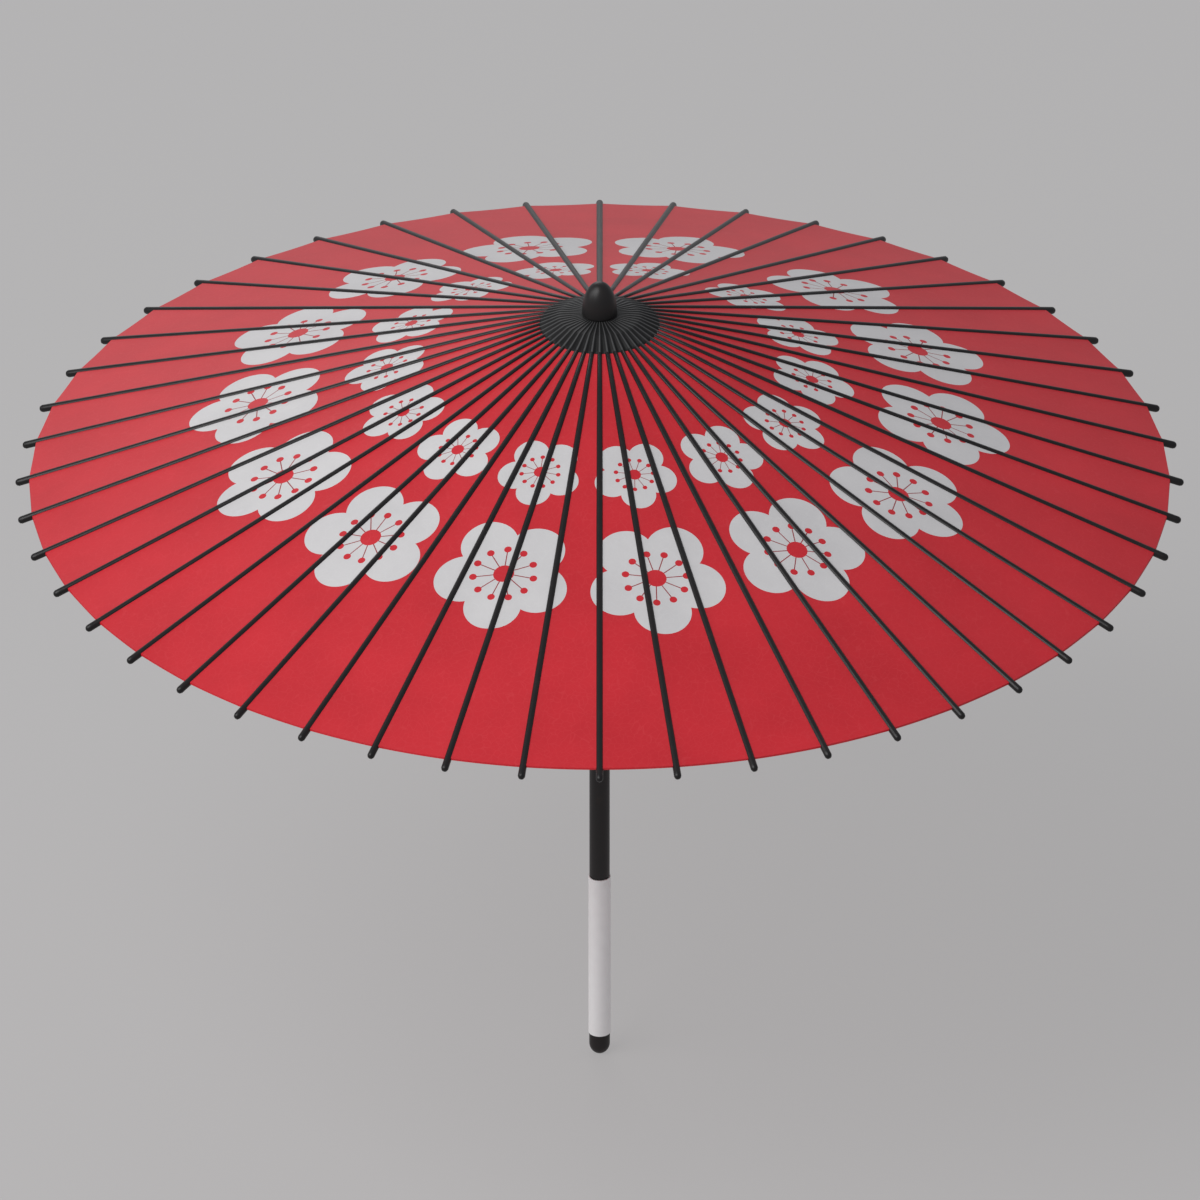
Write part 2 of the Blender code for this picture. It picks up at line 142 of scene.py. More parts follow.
soft_light("key", (-2.2, -1.9, 3.5), 3.0, 138)
soft_light("side", (-4.2, -0.6, 2.3), 1.8, 26)
soft_light("back", (-0.7, 4.4, 2.6), 2.4, 34)

# --------------------------------------------------------------------------------------------------
# Pole: a straight round bar of wood in black lacquer, rubbed to a satin gloss by the sliding runner.
# The CAD solid is kept, with its catch slot and cross holes. Every black wooden piece has this lacquer.


def shader_group(name, inputs, outputs):
    """New shader node group; inputs and outputs give each socket's name and kind."""
    group = bpy.data.node_groups.new(name, "ShaderNodeTree")
    for way, sockets in (("INPUT", inputs), ("OUTPUT", outputs)):
        for key, kind in sockets.items():
            group.interface.new_socket(key, in_out=way, socket_type="NodeSocket" + kind)
    return group, group.nodes.new("NodeGroupInput"), group.nodes.new("NodeGroupOutput")


def noise(tree, place, scale, detail, roughness=0.5, part="Fac"):
    """Cloudy value, or colour, that changes from place to place; scale is how fine it is."""
    settings = {"Vector": place, "Scale": scale, "Detail": detail, "Roughness": roughness}
    return add_node(tree, "ShaderNodeTexNoise", settings).outputs[part]


def spread(tree, value, low, high, start=0.0, end=1.0):
    """A value that runs from low to high, brought to run from start to end."""
    settings = {"Value": value, "From Min": low, "From Max": high, "To Min": start, "To Max": end}
    return add_node(tree, "ShaderNodeMapRange", settings).outputs[0]


def mixed(tree, share, first, second):
    """Colour between two others, each given as three numbers or as the socket that it comes from."""
    node = add_node(tree, "ShaderNodeMix", {0: share}, data_type="RGBA")
    for key, value in ((6, first), (7, second)):
        if isinstance(value, bpy.types.NodeSocket):
            tree.links.new(value, node.inputs[key])
        else:
            node.inputs[key].default_value = (*value, 1)
    return node.outputs[2]


def relief(tree, shader, height, strength, depth):
    """Raises the surface by a height map."""
    bump = add_node(tree, "ShaderNodeBump", {"Strength": strength, "Distance": depth, "Height": height})
    tree.links.new(bump.outputs["Normal"], shader.inputs["Normal"])


def lacquer_group():
    """Black lacquer over wood: long faint brush lines, and thin brownish patches where it wears."""
    inputs = {"Vector": "Vector", "Black": "Color", "Worn": "Color", "Wear": "Float", "Grain": "Vector"}
    group, source, sink = shader_group(
        "lacquer",
        {**inputs, "Smooth": "Float", "Rough": "Float"},
        {"Color": "Color", "Roughness": "Float", "Height": "Float"},
    )
    given = source.outputs
    stretched = add_node(
        group, "ShaderNodeVectorMath", {0: given["Vector"], 1: given["Grain"]}, operation="MULTIPLY"
    )
    brushed = noise(group, stretched.outputs[0], scale=1.0, detail=4.0, roughness=0.6)
    patches = noise(group, given["Vector"], scale=55.0, detail=5.0)
    worn = spread(group, patches, 0.56, 0.80)
    share = add_node(group, "ShaderNodeMath", {0: worn, 1: given["Wear"]}, operation="MULTIPLY")
    colour = mixed(group, share.outputs[0], given["Black"], given["Worn"])
    rough = spread(group, brushed, 0.25, 0.75, given["Smooth"], given["Rough"])
    group.links.new(colour, sink.inputs["Color"])
    group.links.new(rough, sink.inputs["Roughness"])
    group.links.new(brushed, sink.inputs["Height"])
    return group


lacquer = lacquer_group()


def lacquered(name, black, worn, wear, grain, sheen=(0.3, 0.45), strands=None):
    """Lacquered wood, with a roughness between the two of its sheen.

    Grain is how often its lines repeat a metre, along X, Y and Z, or along a strand's own map.
    """
    made, tree, shader = new_material(name)
    if strands:
        place = add_node(tree, "ShaderNodeUVMap", uv_map=strands).outputs[0]
    else:
        place = add_node(tree, "ShaderNodeTexCoord").outputs["Object"]
    colours = {"Black": (*black, 1), "Worn": (*worn, 1), "Wear": wear}
    film = add_node(
        tree,
        "ShaderNodeGroup",
        {"Vector": place, **colours, "Grain": grain, "Smooth": sheen[0], "Rough": sheen[1]},
        node_tree=lacquer,
    )
    tree.links.new(film.outputs["Color"], shader.inputs["Base Color"])
    tree.links.new(film.outputs["Roughness"], shader.inputs["Roughness"])
    relief(tree, shader, film.outputs["Height"], strength=0.15, depth=0.2 * MM)
    shader.inputs["Specular IOR Level"].default_value = 0.3
    return made


def repaint(node, made):
    """Gives a kept CAD node its finish."""
    solid = frame["nodes"][node]
    solid.data.materials.clear()
    solid.data.materials.append(made)


pole_lacquer = lacquered(
    "pole_lacquer",
    black=(0.016, 0.014, 0.014),
    worn=(0.04, 0.026, 0.02),
    wear=0.35,
    grain=(700, 700, 18),
    sheen=(0.36, 0.5),
)
repaint("pole", pole_lacquer)

# --------------------------------------------------------------------------------------------------
# Crown: the notched upper hub, turned from close-grained wood, stained black and pegged to the pole.
# Black crown paper is pasted over it in small pleats, one crest for each long rib. The cotton thread
# that ties the ribs into the notches lies below it.
rib_names = sorted(name for name in frame["nodes"] if name.startswith("rib_"))
rib_count = len(rib_names)
pitch = 2 * math.pi / rib_count
paper_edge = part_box("canopy")[1][0]
PAPER_RISE = 1.3 * MM  # middle of the paper above a rib's centre line, square to it
tilt = math.atan(FALL)
crown_stain = lacquered(
    "crown_stain",
    black=(0.016, 0.014, 0.013),
    worn=(0.07, 0.045, 0.03),
    wear=0.3,
    grain=(420, 420, 60),
    sheen=(0.4, 0.55),
)
repaint("crown", crown_stain)


def line_z(r):
    """Height of an open rib's centre line at this radius."""
    return hinge_z - FALL * (r - hinge_r)


def to_plain_mesh(obj, name):
    """The object as its modifiers leave it, as a plain mesh in a new object at the origin."""
    bpy.context.view_layer.update()
    graph = bpy.context.evaluated_depsgraph_get()
    mesh = bpy.data.meshes.new_from_object(obj.evaluated_get(graph))
    bpy.data.objects.remove(obj, do_unlink=True)
    mesh.name = name
    made = bpy.data.objects.new(name, mesh)
    bpy.context.scene.collection.objects.link(made)
    return made


def object_from(name, bm, *finishes):
    """New object at the origin from a bmesh, shaded smooth."""
    mesh = bpy.data.meshes.new(name)
    bm.to_mesh(mesh)
    bm.free()
    mesh.polygons.foreach_set("use_smooth", [True] * len(mesh.polygons))
    for finish in finishes:
        mesh.materials.append(finish)
    made = bpy.data.objects.new(name, mesh)
    bpy.context.scene.collection.objects.link(made)
    return made


def paper_fibre_group():
    """Handmade paper: long pale fibres, soft clouding and a fine tooth."""
    group, source, sink = shader_group(
        "paper_fibres", {"Vector": "Vector"}, {"Fibres": "Float", "Clouds": "Float", "Height": "Float"}
    )
    place = source.outputs["Vector"]
    bent = noise(group, place, scale=38.0, detail=2.0, part="Color")
    curl = add_node(group, "ShaderNodeVectorMath", {0: bent, "Scale": 0.02}, operation="SCALE")
    moved = add_node(group, "ShaderNodeVectorMath", {0: place, 1: curl.outputs[0]}, operation="ADD")
    strands = add_node(
        group,
        "ShaderNodeTexVoronoi",
        {"Vector": moved.outputs[0], "Scale": 210.0},
        feature="DISTANCE_TO_EDGE",
    )
    fibres = spread(group, strands.outputs["Distance"], 0.0, 0.05, 1.0, 0.0)
    tooth = noise(group, place, scale=900.0, detail=3.0)
    clouds = noise(group, place, scale=14.0, detail=5.0, roughness=0.6)
    raised = add_node(group, "ShaderNodeMath", {0: fibres, 1: 0.5, 2: tooth}, operation="MULTIPLY_ADD")
    group.links.new(fibres, sink.inputs["Fibres"])
    group.links.new(clouds, sink.inputs["Clouds"])
    group.links.new(raised.outputs[0], sink.inputs["Height"])
    return group


paper_fibres = paper_fibre_group()


def crown_paper_material():
    """Black-dyed paper, with a painted highlight that makes it a little paler along its crests."""
    made, tree, shader = new_material("crown_paper_black")
    place = add_node(tree, "ShaderNodeTexCoord").outputs["Object"]
    grain = add_node(tree, "ShaderNodeGroup", {"Vector": place}, node_tree=paper_fibres)
    crest = add_node(tree, "ShaderNodeAttribute", attribute_name="crest")
    # Painted highlight: the black grows paler towards each crest, as if light caught it there.
    painted_crest_highlight = spread(tree, crest.outputs["Fac"], 0.80, 1.0)
    colour = mixed(tree, painted_crest_highlight, (0.006, 0.006, 0.006), (0.07, 0.07, 0.07))
    tree.links.new(colour, shader.inputs["Base Color"])
    relief(tree, shader, grain.outputs["Height"], strength=0.25, depth=0.1 * MM)
    shader.inputs["Roughness"].default_value = 0.55
    shader.inputs["Specular IOR Level"].default_value = 0.2
    return made


def maths(tree, source):
    """A function that adds one arithmetic node; a name stands for the tree's input of that name."""

    def do(operation, a, b=None, c=None):
        node = tree.nodes.new("ShaderNodeMath")
        node.operation = operation
        for index, value in enumerate((a, b, c)):
            if isinstance(value, str):
                value = source.outputs[value]
            if isinstance(value, bpy.types.NodeSocket):
                tree.links.new(value, node.inputs[index])
            elif value is not None:
                node.inputs[index].default_value = value
        return node.outputs[0]

    return do


def shape_tree(name, counts, sizes, finish):
    """New Geometry Nodes tree with named whole-number inputs, sizes and a material, and one output."""
    tree = bpy.data.node_groups.new(name, "GeometryNodeTree")
    tree.interface.new_socket("Geometry", in_out="OUTPUT", socket_type="NodeSocketGeometry")
    sockets = {}
    for kind, names in (("Int", counts), ("Float", sizes), ("Material", (finish,))):
        for key in names:
            sockets[key] = tree.interface.new_socket(key, in_out="INPUT", socket_type="NodeSocket" + kind)
    return tree, sockets, tree.nodes.new("NodeGroupInput"), tree.nodes.new("NodeGroupOutput")


def end_tree(tree, source, sink, geometry, finish):
    """Ends a tree: smooth shading, real geometry, and the material from the input of that name."""
    smooth = add_node(tree, "GeometryNodeSetShadeSmooth", {"Geometry": geometry})
    real = add_node(tree, "GeometryNodeRealizeInstances", {"Geometry": smooth.outputs[0]})
    painted = add_node(
        tree, "GeometryNodeSetMaterial", {"Geometry": real.outputs[0], "Material": source.outputs[finish]}
    )
    tree.links.new(painted.outputs[0], sink.inputs[0])


def crown_pleats_tree():
    """Ring of paper laid in pleats: a grid wrapped round the axis, on two slopes that meet softly."""
    radii = "Inner radius", "Bend radius", "Outer radius"
    heights = "Inner height", "Inner slope", "Outer slope", "Softness", "Inner depth", "Outer depth"
    tree, sockets, source, sink = shape_tree("crown_pleats", ("Pleats",), (*radii, *heights), "Paper")
    do = maths(tree, source)
    rows, steps_per_pleat = 22, 10.0
    grid = add_node(tree, "GeometryNodeMeshGrid", {"Size X": 1.0, "Size Y": 1.0, "Vertices Y": rows})
    tree.links.new(do("MULTIPLY_ADD", "Pleats", steps_per_pleat, 1.0), grid.inputs["Vertices X"])
    position = add_node(tree, "GeometryNodeInputPosition")
    split = add_node(tree, "ShaderNodeSeparateXYZ", {0: position.outputs[0]})
    turn = do("MULTIPLY", do("ADD", split.outputs["X"], 0.5), 2 * math.pi)
    out = do("ADD", split.outputs["Y"], 0.5)
    radius = do("MULTIPLY_ADD", out, do("SUBTRACT", "Outer radius", "Inner radius"), "Inner radius")

    def sloping(start, at, slope):
        """Height on a slope that has this height at that radius."""
        return lambda where: do("SUBTRACT", start, do("MULTIPLY", do("SUBTRACT", where, at), slope))

    inner = sloping("Inner height", "Inner radius", "Inner slope")
    outer = sloping(inner("Bend radius"), "Bend radius", "Outer slope")
    height = do("SMOOTH_MIN", inner(radius), outer(radius), "Softness")
    crest = do("MULTIPLY_ADD", do("COSINE", do("MULTIPLY", turn, "Pleats")), 0.5, 0.5)
    depth = do("MULTIPLY_ADD", out, do("SUBTRACT", "Outer depth", "Inner depth"), "Inner depth")
    height = do("MULTIPLY_ADD", do("SUBTRACT", crest, 1.0), depth, height)
    place = add_node(tree, "ShaderNodeCombineXYZ", {2: height})
    tree.links.new(do("MULTIPLY", radius, do("COSINE", turn)), place.inputs[0])
    tree.links.new(do("MULTIPLY", radius, do("SINE", turn)), place.inputs[1])
    # The crest share is kept on the paper for its painted highlight along the crests.
    marked = {"Geometry": grid.outputs[0], "Name": "crest", "Value": crest}
    store = add_node(tree, "GeometryNodeStoreNamedAttribute", marked)
    placed = {"Geometry": store.outputs[0], "Position": place.outputs[0]}
    shape = add_node(tree, "GeometryNodeSetPosition", placed)
    merge = {"Geometry": shape.outputs[0], "Distance": 0.001 * MM}
    joined = add_node(tree, "GeometryNodeMergeByDistance", merge)
    end_tree(tree, source, sink, joined.outputs[0], "Paper")
    return tree, sockets


def grow(name, tree, sockets, values):
    """Runs a Geometry Nodes tree with these inputs and keeps what it makes as a plain mesh."""
    holder = bpy.data.objects.new(name + "_tree", bpy.data.meshes.new(name + "_tree"))
    bpy.context.scene.collection.objects.link(holder)
    modifier = holder.modifiers.new("grow", "NODES")
    modifier.node_group = tree
    for key, value in values.items():
        modifier[sockets[key].identifier] = value
    return to_plain_mesh(holder, name)


def thicken(obj, wall):
    """Gives an open sheet its thickness, half of it on each face, and keeps it as a plain mesh."""
    solid = obj.modifiers.new("wall", "SOLIDIFY")
    solid.thickness = wall
    solid.offset = 0
    name = obj.name
    obj.name = name + "_sheet"
    made = to_plain_mesh(obj, name)
    made.data.set_sharp_from_angle(angle=math.radians(50))
    return made


crown_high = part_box("crown")[1]
CAP_IN = 11.2 * MM  # under the finial's foot
CAP_BEND = crown_high[0] + 0.1 * MM  # at the crown's edge
CAP_OUT = CAP_BEND + 2.0 * MM
CAP_TOP = crown_high[2] + 0.25 * MM
CAP_SLOPE = 0.083  # over the crown
COLLAR_SLOPE = 0.43  # beyond its edge
PLEAT_DEPTH = 0.45 * MM
CROWN_PAPER_WALL = 0.2 * MM
collar_top = CAP_TOP - (CAP_BEND - CAP_IN) * CAP_SLOPE  # height of the crests at the crown's edge
pleats_tree, pleats_sockets = crown_pleats_tree()
black_paper = crown_paper_material()
crown_paper = grow(
    "crown_paper",
    pleats_tree,
    pleats_sockets,
    {
        "Pleats": rib_count,
        "Inner radius": CAP_IN,
        "Outer radius": CAP_OUT,
        "Inner height": CAP_TOP,
        "Inner slope": CAP_SLOPE,
        "Bend radius": CAP_BEND,
        "Outer slope": COLLAR_SLOPE,
        "Softness": 1.0 * MM,
        "Inner depth": 0.2 * MM,
        "Outer depth": PLEAT_DEPTH,
        "Paper": black_paper,
    },
)
crown_paper = thicken(crown_paper, CROWN_PAPER_WALL)
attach(crown_paper, "umbrella")


def thread_material(name, colour, twist):
    """Waxed cotton thread; the higher its twist, the closer its plies."""
    made, tree, shader = new_material(name)
    place = add_node(tree, "ShaderNodeTexCoord").outputs["Object"]
    plies = add_node(
        tree,
        "ShaderNodeTexWave",
        {"Vector": place, "Scale": twist, "Distortion": 1.5, "Detail": 2.0},
        bands_direction="DIAGONAL",
    )
    shade = mixed(tree, plies.outputs["Fac"], [c * 0.6 for c in colour], colour)
    tree.links.new(shade, shader.inputs["Base Color"])
    relief(tree, shader, plies.outputs["Fac"], strength=0.6, depth=0.1 * MM)
    shader.inputs["Roughness"].default_value = 0.8
    shader.inputs["Sheen Weight"].default_value = 0.3
    return made


black_thread = thread_material("black_thread", (0.03, 0.028, 0.03), 900.0)
repaint("crown_thread", black_thread)

# --------------------------------------------------------------------------------------------------
# Finial: a bell-shaped knob of black lacquered wood, pushed on the pole's tenon.
# It is turned from its outline, with a soft edge round the foot.


def turned(name, outline, steps, finish):
    """Solid turned about Z from an outline of (r, z).

    The outline starts and ends on the axis, or closes on itself.
    """
    bm = bmesh.new()
    rings = []
    for r, z in outline:
        if r < 1e-7:
            rings.append([bm.verts.new((0, 0, z))] * steps)
            continue
        angles = [2 * math.pi * i / steps for i in range(steps)]
        rings.append([bm.verts.new((r * math.cos(a), r * math.sin(a), z)) for a in angles])
    for low, high in zip(rings, rings[1:] + rings[:1]):
        for i in range(steps):
            j = (i + 1) % steps
            corners = list(dict.fromkeys((low[i], low[j], high[j], high[i])))
            if len(corners) > 2:
                bm.faces.new(corners)
    bmesh.ops.recalc_face_normals(bm, faces=bm.faces)
    return object_from(name, bm, finish)


def arc(centre_r, centre_z, radius, start, end, steps):
    """Points of a round stretch of an outline, angles in degrees from the outward direction."""
    angles = [math.radians(start + (end - start) * i / steps) for i in range(steps + 1)]
    return [(centre_r + radius * math.cos(a), centre_z + radius * math.sin(a)) for a in angles]


finial_low, finial_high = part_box("finial")
finial_r = finial_high[0] + 0.45 * MM
finial_foot = finial_low[2]
finial_top = finial_high[2] + 0.5 * MM
SOCKET_R = 5.3 * MM  # for the pole's tenon
SOCKET_DEPTH = 14.6 * MM
FOOT_ROUND = 1.1 * MM
BELL_STEPS = 40
BELL_ROUND = 2.9
BELL_TAPER = 0.12
socket_top = finial_foot + SOCKET_DEPTH
bell_foot = finial_foot + FOOT_ROUND
finial_outline = [(0, socket_top), (SOCKET_R, socket_top), (SOCKET_R, finial_foot)]
finial_outline += arc(finial_r - FOOT_ROUND, bell_foot, FOOT_ROUND, -90, 0, 6)
for step in range(1, BELL_STEPS):
    t = step / BELL_STEPS
    bell_r = finial_r * math.sqrt(1 - t**BELL_ROUND) * (1 - BELL_TAPER * t)
    finial_outline.append((bell_r, bell_foot + (finial_top - bell_foot) * t))
finial_outline.append((0, finial_top))
finial_lacquer = lacquered(
    "finial_lacquer",
    black=(0.009, 0.008, 0.008),
    worn=(0.03, 0.022, 0.018),
    wear=0.25,
    grain=(500, 500, 120),
)
finial = turned("finial_knob", finial_outline, 96, finial_lacquer)
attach(finial, "umbrella")
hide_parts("finial")

# --------------------------------------------------------------------------------------------------
# Long ribs: straight split-bamboo rods in black lacquer, thinned to a tongue where the thread ties them
# into the crown and rounded at the tip. They narrow towards the crown, so that closed ribs lie side
# by side.
CLOSED_LEAN = math.radians(5.5)  # of a closed rib from the pole


def bamboo_strip_tree():
    """Split bamboo with a thin tongue at its root: a grid rolled into a tube, closed at both ends.

    It lies along X from its hinge, and is then tilted, moved out to the hinge and turned about the pole.
    """
    tongue = "Root", "Tongue end", "Tongue half width", "Tongue half height"
    body = "Length", "Half width", "Half height", "Root half width", "Spread", "Keystone", "Squareness"
    ends = "Tip round", "Chisel length", "Chisel slope"
    place = "Hinge radius", "Hinge height", "Tilt", "Turn", "Strand"
    sizes = (*tongue, *body, *ends, *place)
    tree, sockets, source, sink = shape_tree("bamboo_strip", ("Rows",), sizes, "Finish")
    do = maths(tree, source)

    def within(value, low, high):
        return do("MAXIMUM", do("MINIMUM", value, high), low)

    def choose(share, first, second):
        return do("MULTIPLY_ADD", share, do("SUBTRACT", second, first), first)

    sides = 14
    grid = add_node(tree, "GeometryNodeMeshGrid", {"Size X": 1.0, "Size Y": 1.0, "Vertices Y": sides + 1})
    tree.links.new(source.outputs["Rows"], grid.inputs["Vertices X"])
    position = add_node(tree, "GeometryNodeInputPosition")
    split = add_node(tree, "ShaderNodeSeparateXYZ", {0: position.outputs[0]})
    row = do("ROUND", do("MULTIPLY", do("ADD", split.outputs["X"], 0.5), do("SUBTRACT", "Rows", 1.0)))
    angle = do("MULTIPLY_ADD", split.outputs["Y"], -2 * math.pi, math.pi + math.pi / sides)
    out, up = do("COSINE", angle), do("SINE", angle)

    # The first rows make the tongue, and the others the body, closer together towards the tip.
    tongue_rows = 5.0
    body_row = do("GREATER_THAN", row, tongue_rows - 0.5)
    step = do("DIVIDE", do("SUBTRACT", row, 1.0), tongue_rows - 2.0)
    step = do("POWER", within(step, 0.0, 1.0), 2.3)
    on_tongue = do("MULTIPLY_ADD", step, do("SUBTRACT", "Tongue end", "Root"), "Root")
    left = do("SUBTRACT", do("SUBTRACT", "Rows", 1.0), row)
    left = do("DIVIDE", left, do("SUBTRACT", "Rows", tongue_rows + 1.0))
    shoulder = do("ADD", "Tongue end", 0.6 * MM)
    gone = do("SUBTRACT", 1.0, do("POWER", left, 2.6))
    on_body = do("MULTIPLY_ADD", gone, do("SUBTRACT", "Length", shoulder), shoulder)
    along = choose(body_row, on_tongue, on_body)

    past = do("SUBTRACT", do("ADD", along, "Tip round"), "Length")
    tip = within(do("DIVIDE", past, "Tip round"), 0.0, 1.0)
    full = do("SQRT", do("SUBTRACT", 1.0, do("MULTIPLY", tip, tip)))
    full = do("MULTIPLY", full, do("GREATER_THAN", left, 0.0))
    full = do("MULTIPLY", full, do("MINIMUM", do("MULTIPLY", do("POWER", row, 0.8), 0.5), 1.0))

    squared_out = within(do("MULTIPLY", out, "Squareness"), -1.0, 1.0)
    squared_up = within(do("MULTIPLY", up, "Squareness"), -1.0, 1.0)
    cut = do("MAXIMUM", do("SUBTRACT", along, do("SUBTRACT", "Length", "Chisel length")), 0.0)
    top = do("SUBTRACT", "Half height", do("MULTIPLY", cut, "Chisel slope"))
    middle = do("MULTIPLY", do("SUBTRACT", top, "Half height"), 0.5)
    body_up = do("MULTIPLY", squared_up, do("SUBTRACT", top, middle))
    limit = do("MULTIPLY_ADD", along, "Spread", "Root half width")
    limit = do("MULTIPLY_ADD", body_up, "Keystone", limit)
    body_out = do("MINIMUM", do("MULTIPLY", do("ABSOLUTE", squared_out), "Half width"), limit)
    body_out = do("MULTIPLY", body_out, do("SIGN", squared_out))
    tongue_out = do("MULTIPLY", within(do("MULTIPLY", out, 1.6), -1.0, 1.0), "Tongue half width")
    tongue_up = do("MULTIPLY", within(do("MULTIPLY", up, 1.25), -1.0, 1.0), "Tongue half height")
    outline = add_node(tree, "ShaderNodeCombineXYZ", {0: along})
    tree.links.new(do("MULTIPLY", choose(body_row, tongue_out, body_out), full), outline.inputs[1])
    raised = do("MULTIPLY", choose(body_row, tongue_up, body_up), full)
    tree.links.new(do("MULTIPLY_ADD", body_row, middle, raised), outline.inputs[2])

    strand = add_node(tree, "ShaderNodeCombineXYZ", {0: do("ADD", along, "Strand")})
    tree.links.new(do("MULTIPLY", angle, "Half width"), strand.inputs[1])
    mapped = add_node(
        tree,
        "GeometryNodeStoreNamedAttribute",
        data_type="FLOAT2",
        domain="CORNER",
        inputs={"Geometry": grid.outputs[0], "Name": "along"},
    )
    tree.links.new(strand.outputs[0], mapped.inputs["Value"])
    placed = {"Geometry": mapped.outputs[0], "Position": outline.outputs[0]}
    shape = add_node(tree, "GeometryNodeSetPosition", placed)
    merge = {"Geometry": shape.outputs[0], "Distance": 0.001 * MM}
    joined = add_node(tree, "GeometryNodeMergeByDistance", merge)
    given = source.outputs
    tilted = add_node(tree, "ShaderNodeCombineXYZ", {1: given["Tilt"]})
    hinge = add_node(tree, "ShaderNodeCombineXYZ", {0: given["Hinge radius"], 2: given["Hinge height"]})
    turn = add_node(tree, "ShaderNodeCombineXYZ", {2: given["Turn"]})
    hung = add_node(
        tree,
        "GeometryNodeTransform",
        {"Geometry": joined.outputs[0], "Translation": hinge.outputs[0], "Rotation": tilted.outputs[0]},
    )
    turned_by = {"Geometry": hung.outputs[0], "Rotation": turn.outputs[0]}
    around = add_node(tree, "GeometryNodeTransform", turned_by)
    end_tree(tree, source, sink, around.outputs[0], "Finish")
    return tree, sockets


strip_tree, strip_sockets = bamboo_strip_tree()
rib_lacquer = lacquered(
    "rib_lacquer",
    black=(0.006, 0.005, 0.005),
    worn=(0.03, 0.022, 0.018),
    wear=0.3,
    grain=(25, 1300, 1),
    sheen=(0.31, 0.42),
    strands="along",
)
rib_shape = {
    "Rows": 28,
    "Root": -2.2 * MM,
    "Tongue end": 5.9 * MM,
    "Tongue half width": 0.65 * MM,
    "Tongue half height": 1.9 * MM,
    "Length": (tip_r - hinge_r) / math.cos(tilt) - 0.4 * MM,
    "Half width": 2.65 * MM,
    "Half height": 2.75 * MM,
    "Root half width": hinge_r * math.tan(pitch / 2) - 0.15 * MM,
    "Spread": math.sin(CLOSED_LEAN) * math.tan(pitch / 2),
    "Keystone": math.cos(CLOSED_LEAN) * math.tan(pitch / 2),
    "Squareness": 1.0,
    "Tip round": 2.4 * MM,
    "Chisel length": 0.0,
    "Chisel slope": 0.0,
    "Hinge radius": hinge_r,
    "Hinge height": hinge_z,
    "Tilt": tilt,
    "Finish": rib_lacquer,
}
for index, name in enumerate(rib_names):
    own = {"Turn": index * pitch, "Strand": 0.5 * (index % 7)}  # neighbours' brush lines differ
    rod = grow(f"{name}_rod", strip_tree, strip_sockets, {**rib_shape, **own})
    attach(rod, name)
    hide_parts(name)

# --------------------------------------------------------------------------------------------------
# Paper: oiled red handmade paper stretched from rib to rib and pasted to them, black round the crown,
# with two rings of white plum blossoms. Each rib carries half of the gore on either side of it, so
# that the paper folds with the ribs.
PAPER_WALL = 0.24 * MM
GORE_SAG = 0.5 * MM
HEM = 1.3 * MM  # the rim's fold, down from the edge
HEM_LEAN = 0.2 * MM
COLLAR_OUT = 43.2 * MM  # edge of the black paper pasted over the ribs
COLLAR_DEPTH = 1.5 * MM  # of its pleats at that edge
COLLAR_LIP = 0.4 * MM  # from that edge out to the red paper under it
gore_start = CAP_BEND + 1.1 * MM
rim_r = paper_edge + 0.4 * MM
COLLAR_ROWS = 6
GORE_ROWS = 32
GORE_COLUMNS = 5


